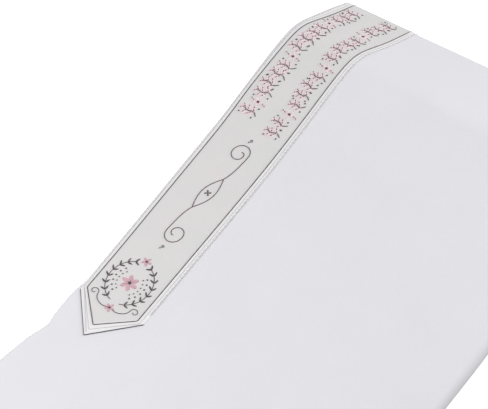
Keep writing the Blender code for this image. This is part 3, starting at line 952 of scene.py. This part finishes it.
scroll = []
for sign in (1, -1):
    scroll += stem_stitches(placed_scroll(scroll_half(), sign), SCROLL_STITCH)
leaves, _, knots = blossom(SCROLL_MIDDLE, ROSETTE_R, ROSETTE_PETALS, ROSETTE_TURN)
for sign in (1, -1):
    dot = placed_scroll([DOTS_AT], sign)[0]
    small_dot = (dot[0] + SMALL_DOT_OFF[0], dot[1] + SMALL_DOT_OFF[1])
    knots += [knot_stitch(dot, DOT_SIZE), knot_stitch(small_dot, SMALL_DOT_SIZE)]
sew("scroll_line", scroll, SCROLL_R, mauve_thread)
sew("scroll_rosette", leaves, ROSETTE_THREAD_R, mauve_thread)
sew("scroll_knots", knots, DOT_THREAD_R, grey_thread)

# The wreath. In the pointed end two leafy branches of grey thread bow round a rose blossom, with a
# smaller one above it. They are tied below it under a third, with a small scroll each side.
WREATH_MIDDLE = (0.4220, 0.0365)
WREATH_LONG = 0.0240
WREATH_WIDE = 0.0215
BRANCH_FIRST_DEG, BRANCH_DEG, BRANCH_STEPS = 12, 150, 24
BRANCH_R, BRANCH_STITCH = 0.00032, 0.0024

# Its leaves as (length, width), and the berries inside them as (share of the way out, size)
WREATH_LEAF, WREATH_LEAF_LEAN = (0.0052, 0.0019), 0.75
WREATH_LEAF_R, WREATH_VEIN_R, BERRY_R = 0.00024, 0.00030, 0.00028
BERRIES = ((0.72, 0.0006), (0.55, 0.0004))
FIRST_LEAF, FIRST_BERRY, LEAF_EVERY = 2, 4, 3

# One of the small scrolls, from the tie out, and its curl as curl() takes it
TIE_AT = (0.4530, 0.0365)
TAIL = ((0.0, 0.0012), (0.0012, 0.0070), (-0.0003, 0.0125), (-0.0036, 0.0165))
TAIL_CURL = ((-0.0075, 0.0214), 0.0034, 0.0036, -90, -0.95, 10)
TAIL_STITCH = 0.0020

# The flowers in the middle, at the top and at the tie, as (place, radius, petals)
CROWN_OUT = 0.003
CROWN_AT = (WREATH_MIDDLE[0] - WREATH_LONG - CROWN_OUT, WREATH_MIDDLE[1])
WREATH_FLOWERS = ((WREATH_MIDDLE, 0.0085, 6), (CROWN_AT, 0.0048, 5), (TIE_AT, 0.0046, 5))
WREATH_FLOWER_TURN = 0.3
wreath_lines, wreath_leaves, wreath_knots = [], [], []
for side in (1, -1):
    degrees = [BRANCH_FIRST_DEG + BRANCH_DEG * i / BRANCH_STEPS for i in range(BRANCH_STEPS + 1)]
    branch = [
        oval(WREATH_MIDDLE, WREATH_LONG, side * WREATH_WIDE, math.radians(turn)) for turn in degrees
    ]
    wreath_lines += stem_stitches(branch, BRANCH_STITCH)
    for i in range(FIRST_LEAF, BRANCH_STEPS, LEAF_EVERY):
        ahead = math.atan2(branch[i + 1][1] - branch[i][1], branch[i + 1][0] - branch[i][0])
        for lean in (WREATH_LEAF_LEAN, -WREATH_LEAF_LEAN):
            wreath_leaves += satin_leaf(branch[i], ahead + lean, *WREATH_LEAF)
    for i in range(FIRST_BERRY, BRANCH_STEPS - FIRST_LEAF, LEAF_EVERY):
        for share, size in BERRIES:
            inner = [m + (p - m) * share for p, m in zip(branch[i], WREATH_MIDDLE)]
            wreath_knots.append(knot_stitch(inner, size))
    tail = [*TAIL, *curl(*TAIL_CURL)]
    tail = [(TIE_AT[0] + along, TIE_AT[1] + side * across) for along, across in tail]
    wreath_lines += stem_stitches(curved(tail, per_span=5), TAIL_STITCH)
petals, veins = [], []
for place, radius, count in WREATH_FLOWERS:
    leaves, lines, eye = blossom(place, radius, count, WREATH_FLOWER_TURN)
    petals += leaves
    veins += lines
    wreath_knots += eye
rose_thread = thread_finish("rose_thread", (0.60, 0.35, 0.42), (0.74, 0.48, 0.54))
sew("wreath_branches", wreath_lines, BRANCH_R, grey_thread)
sew("wreath_leaves", wreath_leaves, WREATH_LEAF_R, grey_thread)
sew("wreath_blossoms", petals, SATIN_R, rose_thread)
sew("wreath_veins", veins, WREATH_VEIN_R, mauve_thread)
sew("wreath_knots", wreath_knots, BERRY_R, mauve_thread)

# The shawl's own stitching, all in white thread: overcast stitches over the neck edge, a
# lockstitched hem along both short ends, and a buttonholed ring round the corner eyelet.
OVERCAST_PITCH = 0.0032
OVERCAST_R = 0.00028
HEM_STITCH = 0.0026
HEM_GAP = 0.0006
HEM_STITCH_INSET, HEM_ROW_INSET, HEM_STITCH_IN = 0.001, 0.003, 0.0002
BUTTONHOLE_STITCHES, BUTTONHOLE_R = 26, 0.00034
BUTTONHOLE_IN, BUTTONHOLE_OUT = EYELET_R * 0.88, EYELET_R * 1.5
white_thread = thread_finish("white_thread", (0.70, 0.69, 0.71), (0.78, 0.77, 0.79))


def edge_place(run, inset, out):
    """A place near the neck edge, inset from it and out from the cloth's face."""
    x = face_at(run, NECK_Y)[0]
    return on_pack(run, neck_edge(x) - inset, out)


overcast = []
count = round(run_to(4.0, NECK_Y) / OVERCAST_PITCH)
over = OVERCAST_R * 0.6
stitch = (
    (0.0, 0.0013, over * 0.5), (0.0003, 0.0001, over),
    (0.0005, -0.0002, -CLOTH_T / 2), (0.0008, 0.0001, -CLOTH_T - over),
)
for number in range(-count + 2, count - 1):
    run = number * OVERCAST_PITCH
    overcast.append([edge_place(run + ahead, inset, out) for ahead, inset, out in stitch])
sew_points("neck_edge_overcast", overcast, OVERCAST_R, white_thread)

hem_stitches = []
seam = HEM_DEPTH - HEM_STITCH_INSET
for run, rise in ((run_to(4.0, 0.0) - seam, HEM_STITCH_IN), (run_below(4.0, 0.0) + seam, 0.0)):
    y = ROLL_Y
    while y + HEM_STITCH < NECK_Y + FLARE - HEM_ROW_INSET:
        stitch = ((y, -HEM_STITCH_IN), (y + HEM_STITCH / 2, rise), (y + HEM_STITCH, -HEM_STITCH_IN))
        hem_stitches.append([on_pack(run, across, out) for across, out in stitch])
        y += HEM_STITCH + HEM_GAP
sew_points("end_hem_stitches", hem_stitches, OVERCAST_R, white_thread)

ring = []
stitch = (
    (BUTTONHOLE_IN, -0.0004), (BUTTONHOLE_IN + 0.0004, 0.0003),
    (BUTTONHOLE_OUT, 0.0002), (BUTTONHOLE_OUT + 0.0002, -0.0002),
)
for i in range(BUTTONHOLE_STITCHES):
    turn = math.tau * i / BUTTONHOLE_STITCHES
    ring.append([
        on_pack(eyelet_run + r * math.cos(turn), eyelet_y + r * math.sin(turn), out)
        for r, out in stitch
    ])
sew_points("eyelet_buttonhole", ring, BUTTONHOLE_R, white_thread)

# The tzitzit, or corner tassels. Each is wool cord drawn through a corner's eyelet, tied with five
# double knots with 7, 8, 11 and 13 windings between them, and left as eight loose twisted strands.
CORD_R = 0.00060
CORE_R = 0.0013
WOUND_R = 0.0019
KNOT_R = 0.0028
ROOT_REACH = 0.0085
HEAD_OFF = 0.005
WOUND_LENGTH = 0.10
STRAND_R = 0.0006
STRAND_LENGTH = 0.25
STRANDS = 8
STRAND_FLOOR = 0.0005
WINDINGS = (7, 8, 11, 13)
HEAD_START, HEAD_END = 0.03, 0.97
WINDING_STEPS, WINDING_GAP = 9, 0.022
KNOT_CORD_R, KNOT_APART, KNOT_LEAN, KNOT_STEPS = 0.0009, 0.006, 0.010, 12

# The cords' lays, each one turn of the ply, and the steps between their points
CORE_LAY, WINDING_LAY, KNOT_LAY, STRAND_LAY = 0.009, 0.0035, 0.0060, 0.0050
CORE_STEP, STRAND_STEP = 0.0012, 0.0008
PLY_ROUND, PLY_WAIST, PLY_SIDES = 0.80, 0.20, 8

# How the strands leave the last knot, fan out and come down to the floor. They sway together and
# stray apart, as (width, radians a metre, shift between strands, start, full).
STRAND_POINTS, STRAND_ROOT = 64, 0.004
FAN_ROOT, FAN_OPENING, FAN_OPEN_AT, FAN_GROWTH = 0.00065, 0.0048, 0.06, 0.016
SWAY = (0.006, 26.0, 0.25, 0.0, 0.12)
STRAY = (0.0012, 71.0, 2.1, 0.03, 0.15)
STRAND_UNEVEN, STRAND_LANDS = 0.0008, 0.045


def twisted_cord(name, runs, radius, lay):
    """Two-ply cords along runs of points: a figure-eight section turned once each lay."""
    ring = []
    for i in range(PLY_SIDES):
        turn = math.tau * i / PLY_SIDES
        reach = radius * (PLY_ROUND + PLY_WAIST * math.cos(2 * turn))
        ring.append((*oval((0.0, 0.0), reach, reach, turn), 0.0))
    section = new_curve(name + "_section", [ring])
    section.dimensions = "2D"
    section.splines[0].use_cyclic_u = True
    curve = new_curve(name, runs)
    curve.twist_mode = "MINIMUM"
    curve.bevel_mode = "OBJECT"
    curve.bevel_object = bpy.data.objects.new(name + "_section", section)
    for spline, run in zip(curve.splines, runs):
        gone = 0.0
        for i, spot in enumerate(spline.points):
            gone += (run[i] - run[i - 1]).length if i else 0.0
            spot.tilt = math.tau * gone / lay
    return bpy.data.objects.new(name, curve), curve.bevel_object


def refined(run, step):
    """The same run of points, with a point at every step."""
    points = [run[0]]
    for a, b in zip(run, run[1:]):
        count = max(1, round((b - a).length / step))
        points += [a.lerp(b, (i + 1) / count) for i in range(count)]
    return points


def smoothed(run, rounds=2):
    """A run with its corners cut."""
    for _ in range(rounds):
        cut = [run[0]]
        for a, b in zip(run, run[1:]):
            cut += [a.lerp(b, 0.25), a.lerp(b, 0.75)]
        run = cut + [run[-1]]
    return run


def wound_head(start, end):
    """The core, the windings and the double knots between start and end."""
    axis = (end - start).normalized()
    aside = axis.cross(Vector((0, 0, 1))).normalized()
    over = aside.cross(axis)
    length = (end - start).length
    spread = HEAD_END - HEAD_START
    shares = [
        HEAD_START + spread * sum(WINDINGS[:i]) / sum(WINDINGS) for i in range(len(WINDINGS) + 1)
    ]

    def around(share, turn, radius):
        centre = start + axis * length * share
        return centre + (aside * math.cos(turn) + over * math.sin(turn)) * radius

    coils = []
    for number, turns in enumerate(WINDINGS):
        first, last = shares[number] + WINDING_GAP, shares[number + 1] - WINDING_GAP
        steps = turns * WINDING_STEPS
        coils.append([
            around(
                first + (last - first) * i / steps, math.tau * turns * i / steps, WOUND_R - CORD_R
            )
            for i in range(steps + 1)
        ])
    knots = []
    for share in shares:
        for side in (1, -1):
            middle, lean = share - side * KNOT_APART, side * KNOT_LEAN
            turns = [math.tau * i / KNOT_STEPS for i in range(KNOT_STEPS + 1)]
            knots.append([
                around(middle + lean * math.cos(turn), turn, KNOT_R - KNOT_CORD_R) for turn in turns
            ])
    core = [around(HEAD_START, 0.0, 0.0), around(HEAD_END, 0.0, 0.0)]
    return core, coils, knots


def wander(wave, along, number):
    """How far a numbered strand wanders sideways at one place along it."""
    width, rate, apart, start, full = wave
    return width * math.sin(along * rate + apart * number) * eased(along, start, full)


def loose_strands(end, heading, left):
    """The strands that leave the last knot and fan out over the floor."""
    runs = []
    for strand in range(STRANDS):
        slot = strand - (STRANDS - 1) / 2
        run = []
        for step in range(STRAND_POINTS):
            along = STRAND_LENGTH * step / (STRAND_POINTS - 1) - STRAND_ROOT
            spread = FAN_ROOT + FAN_OPENING * eased(along, 0.0, FAN_OPEN_AT)
            spread += FAN_GROWTH * max(0.0, along)
            aside = slot * spread + wander(SWAY, along, slot) + wander(STRAY, along, strand)
            rest = STRAND_FLOOR + STRAND_R
            height = end.z - rest + (STRAND_UNEVEN if strand % 2 else -STRAND_UNEVEN)
            height *= 1 - eased(along, 0.0, STRAND_LANDS)
            spot = end + heading * along + left * aside
            run.append(Vector((spot.x, spot.y, rest + max(0.0, height))))
        runs.append(run)
    return runs


def tie_tassel(node, corner, heading_deg, top_z, roots):
    """One tassel at its corner, all in wool cord."""
    turn = math.radians(heading_deg)
    heading = Vector((-math.cos(turn), math.sin(turn), 0))
    left = Vector((-heading.y, heading.x, 0))
    start = Vector((-HALF_LENGTH - HEAD_OFF, corner, max(top_z, KNOT_R + STRAND_FLOOR)))
    drop = start.z - KNOT_R - STRAND_FLOOR
    end = start + heading * math.sqrt(WOUND_LENGTH ** 2 - drop ** 2) - Vector((0, 0, drop))
    core, coils, knots = wound_head(start, end)
    strands = [refined(run, STRAND_STEP) for run in loose_strands(end, heading, left)]
    roots = [refined(smoothed(run), STRAND_STEP) for run in roots]
    parts = [
        twisted_cord(node + "_core", [refined(core, CORE_STEP)], CORE_R, CORE_LAY),
        twisted_cord(node + "_coils", coils, CORD_R, WINDING_LAY),
        twisted_cord(node + "_knots", knots, KNOT_CORD_R, KNOT_LAY),
        twisted_cord(node + "_strands", strands, STRAND_R, STRAND_LAY),
        twisted_cord(node + "_roots", roots, CORD_R, STRAND_LAY),
    ]
    made = []
    for part, section in parts:
        made.append(finish_thread(part, tassel_wool))
        bpy.data.objects.remove(section)
    bpy.ops.object.select_all(action="DESELECT")
    for part in made:
        part.parent = None
        part.select_set(True)
    bpy.context.view_layer.objects.active = made[0]
    bpy.ops.object.join()
    tassel = bpy.context.object
    tassel.name = node + "_cords"
    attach(tassel, "root")
    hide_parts(node)


FUZZ_PER_M, WOOL_TONES_PER_M = 1800.0, 90.0
tassel_wool, tree, shader = new_finish("tassel_wool", (0.74, 0.72, 0.69), roughness=0.85, sheen=0.4)
fuzz = mottle(tree, FUZZ_PER_M, detail=3.0)
raise_surface(tree, shader, fuzz, strength=0.5, distance=0.0002)
tone = mottle(tree, WOOL_TONES_PER_M)
blend_colors(tree, tone, (0.70, 0.68, 0.645), (0.80, 0.785, 0.755), shader)

# The first tassel's cords run from its first knot over the cloth, down the eyelet and back below
ROOT_CORDS, ROOT_PITCH, ROOT_SQUEEZE, ROOT_OFF = 4, 0.00125, 0.7, 0.0004
ROOT_SPREAD, HEM_ROOM, UNDER_HEM = 0.0011, 0.003, 0.001
EYELET_BEND, BEND_OFF, HEAD_SINKS = 0.0020, 0.0003, 0.00075
open_end = -HALF_LENGTH
top, below = eyelet.z, eyelet.z - CLOTH_T
over, under = top + CORD_R + ROOT_OFF, below - CORD_R - ROOT_OFF
knot_z = eyelet.z - CLOTH_T / 2
roots = []
for i in range(ROOT_CORDS):
    aside = (i - (ROOT_CORDS - 1) / 2) * ROOT_PITCH
    y, squeezed = eyelet.y + aside, eyelet.y + aside * ROOT_SQUEEZE
    stops = (
        (open_end - ROOT_REACH, squeezed, knot_z + ROOT_SPREAD),
        (open_end - HEM_ROOM, y, over - ROOT_OFF), (open_end + HEM_ROOM, y, over),
        (eyelet.x - EYELET_BEND, y, over), (eyelet.x, y, top + BEND_OFF),
        (eyelet.x, y, below - BEND_OFF), (eyelet.x - EYELET_BEND, y, under),
        (open_end + UNDER_HEM, y, under), (open_end - HEM_ROOM, y, under + ROOT_OFF),
        (open_end - ROOT_REACH, squeezed, knot_z - ROOT_SPREAD),
    )
    roots.append([Vector(stop) for stop in stops])
tie_tassel("tzitzit_1", eyelet.y, heading_deg=9.0, top_z=eyelet.z - HEAD_SINKS, roots=roots)

# The other three corners are inside the pack, so their tassels come out between its layers. Each is
# (node, place across, height, heading).
HIDDEN_CORNERS = (
    ("tzitzit_2", 0.105, 0.0225, -2.0),
    ("tzitzit_3", 0.075, 0.0085, -12.0),
    ("tzitzit_4", 0.165, 0.0035, 22.0),
)
ROOT_DEPTH = 0.020
stops = (open_end - ROOT_REACH, open_end + ROOT_DEPTH)
for node, across, height, heading_deg in HIDDEN_CORNERS:
    roots = []
    for up in (CORD_R, -CORD_R):
        for aside in (-CORD_R, CORD_R):
            roots.append([Vector((x, across + aside, height + up)) for x in stops])
    tie_tassel(node, across, heading_deg, height, roots)

# The studio: a plain white floor, a white room that darkens below the horizon, a large soft lamp
# low at the right, a weaker one behind the open ends, and the camera at the photograph's angle.
FLOOR_Z, FLOOR_SIZE, FLOOR_GLOW = -0.0003, 14.0, 0.60
bpy.ops.mesh.primitive_plane_add(size=FLOOR_SIZE, location=(0, 0, FLOOR_Z))
floor = bpy.context.object
floor.name = "studio_floor"
floor_finish, tree, shader = new_finish("floor_white", (0.9, 0.9, 0.9), roughness=0.9, sheen=0.0)
shader.inputs["Emission Color"].default_value = (1.0, 1.0, 1.0, 1.0)
shader.inputs["Emission Strength"].default_value = FLOOR_GLOW
floor.data.materials.append(floor_finish)
floor.visible_diffuse = False

ROOM_LIGHT = 0.52
ROOM_LIGHT_BELOW = 0.03
FADE_BELOW, FADE_ABOVE = -0.30, 0.10
room = bpy.data.worlds.new("room")
bpy.context.scene.world = room
room.use_nodes = True
tree = room.node_tree
tree.nodes["Background"].inputs["Color"].default_value = (1.0, 1.0, 1.0, 1.0)
split = tree.nodes.new("ShaderNodeSeparateXYZ")
tree.links.new(coordinates(tree, "Generated"), split.inputs[0])
fade = tree.nodes.new("ShaderNodeMapRange")
fade.inputs["From Min"].default_value = FADE_BELOW
fade.inputs["From Max"].default_value = FADE_ABOVE
fade.inputs["To Min"].default_value = ROOM_LIGHT_BELOW
fade.inputs["To Max"].default_value = ROOM_LIGHT
tree.links.new(split.outputs["Z"], fade.inputs["Value"])
tree.links.new(fade.outputs["Result"], tree.nodes["Background"].inputs["Strength"])


def hang_lamp(name, place, aim, size, power):
    """A soft square lamp at place, turned towards aim."""
    lamp = bpy.data.lights.new(name, "AREA")
    lamp.size = size
    lamp.energy = power
    holder = bpy.data.objects.new(name, lamp)
    holder.location = place
    holder.rotation_euler = (Vector(aim) - Vector(place)).to_track_quat("-Z", "Y").to_euler()
    bpy.context.scene.collection.objects.link(holder)


hang_lamp("right_lamp", place=(1.5, -1.2, 0.8), aim=(0.15, 0.0, 0.0), size=1.2, power=22.5)
hang_lamp("left_lamp", place=(-0.8, 0.8, 1.1), aim=(-0.4, 0.0, 0.0), size=0.9, power=12.5)

IMAGE_WIDTH = 488
FOCAL_PX = 2243
CAMERA_TARGET = (0.164, 0.087, 0.050)
CAMERA_AZIMUTH = math.radians(-54.21)
CAMERA_ELEVATION = math.radians(54.42)
CAMERA_ROLL = math.radians(-2.57)
CAMERA_DISTANCE = 2.052
SENSOR = 36.0

back = Vector((
    math.sin(CAMERA_AZIMUTH) * math.cos(CAMERA_ELEVATION),
    -math.cos(CAMERA_AZIMUTH) * math.cos(CAMERA_ELEVATION),
    math.sin(CAMERA_ELEVATION),
))
level = Vector((0, 0, 1)).cross(back).normalized()
upright = back.cross(level)
right = level * math.cos(CAMERA_ROLL) + upright * math.sin(CAMERA_ROLL)
up = back.cross(right)
lens = bpy.data.cameras.new("camera")
lens.sensor_width = SENSOR
lens.lens = SENSOR * FOCAL_PX / IMAGE_WIDTH
camera = bpy.data.objects.new("camera", lens)
bpy.context.scene.collection.objects.link(camera)
camera_place = Vector(CAMERA_TARGET) + back * CAMERA_DISTANCE
camera_turn = Matrix((right, up, back)).transposed()
camera.matrix_world = Matrix.Translation(camera_place) @ camera_turn.to_4x4()
bpy.context.scene.camera = camera
bpy.context.scene.view_settings.view_transform = "Standard"
